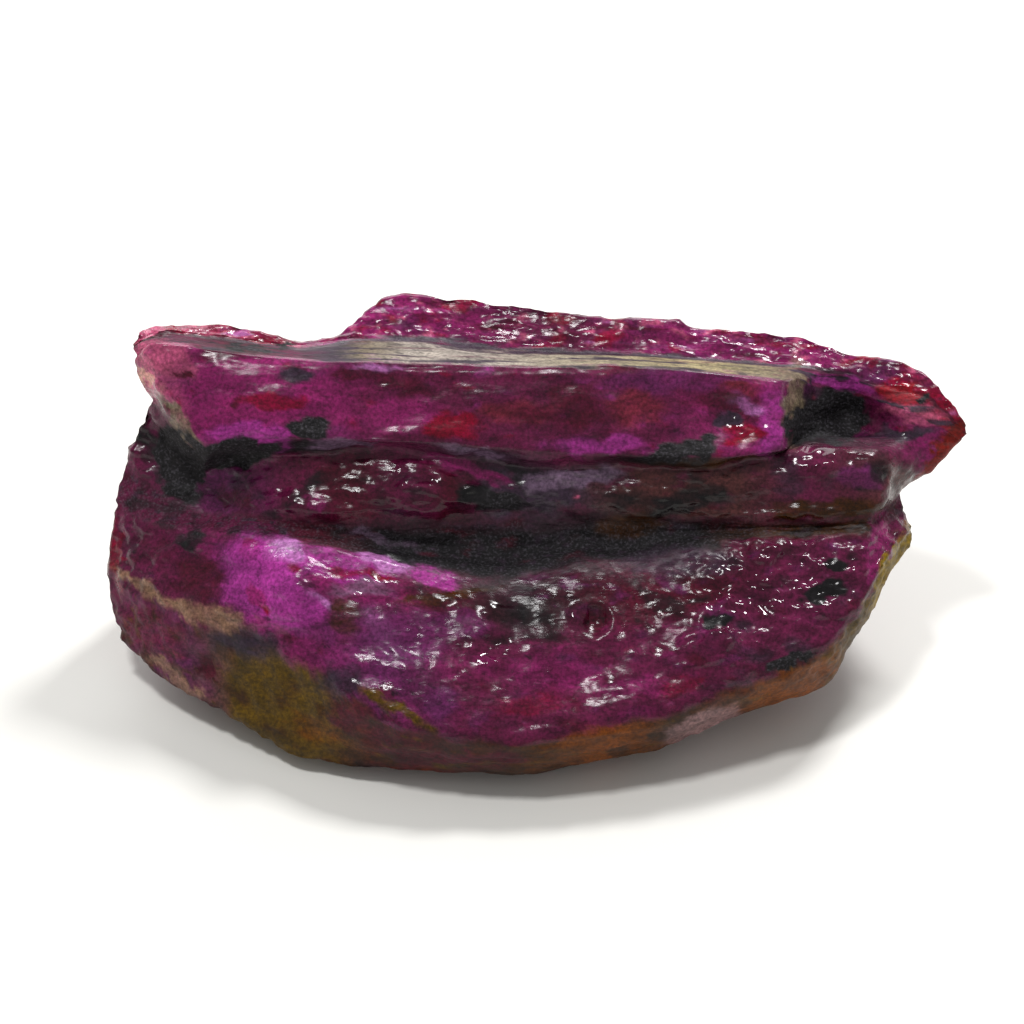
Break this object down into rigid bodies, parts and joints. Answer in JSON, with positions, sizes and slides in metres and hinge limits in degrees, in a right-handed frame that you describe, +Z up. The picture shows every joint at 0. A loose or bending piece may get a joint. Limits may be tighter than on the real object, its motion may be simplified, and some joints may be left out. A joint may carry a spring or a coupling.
{
  "type": "rough sapphire",
  "caption": "Rough corundum crystal lump with a slab top, a groove and a swelling lower face, lying on a flat broken base.",
  "frame": {"origin": "on the ground under the middle of the stone's bounding box", "axes": "+X along the stone's length towards its pointed end, +Y from the leaning front towards the back, +Z up"},
  "size_m": [0.0604, 0.0316, 0.0228],
  "materials": {
    "corundum": "wet-looking rough crystal, purple and crimson with black, olive and pale grey patches"
  },
  "bodies": {
    "root": {"rough_sapphire": "corundum"}
  },
  "joints": []
}
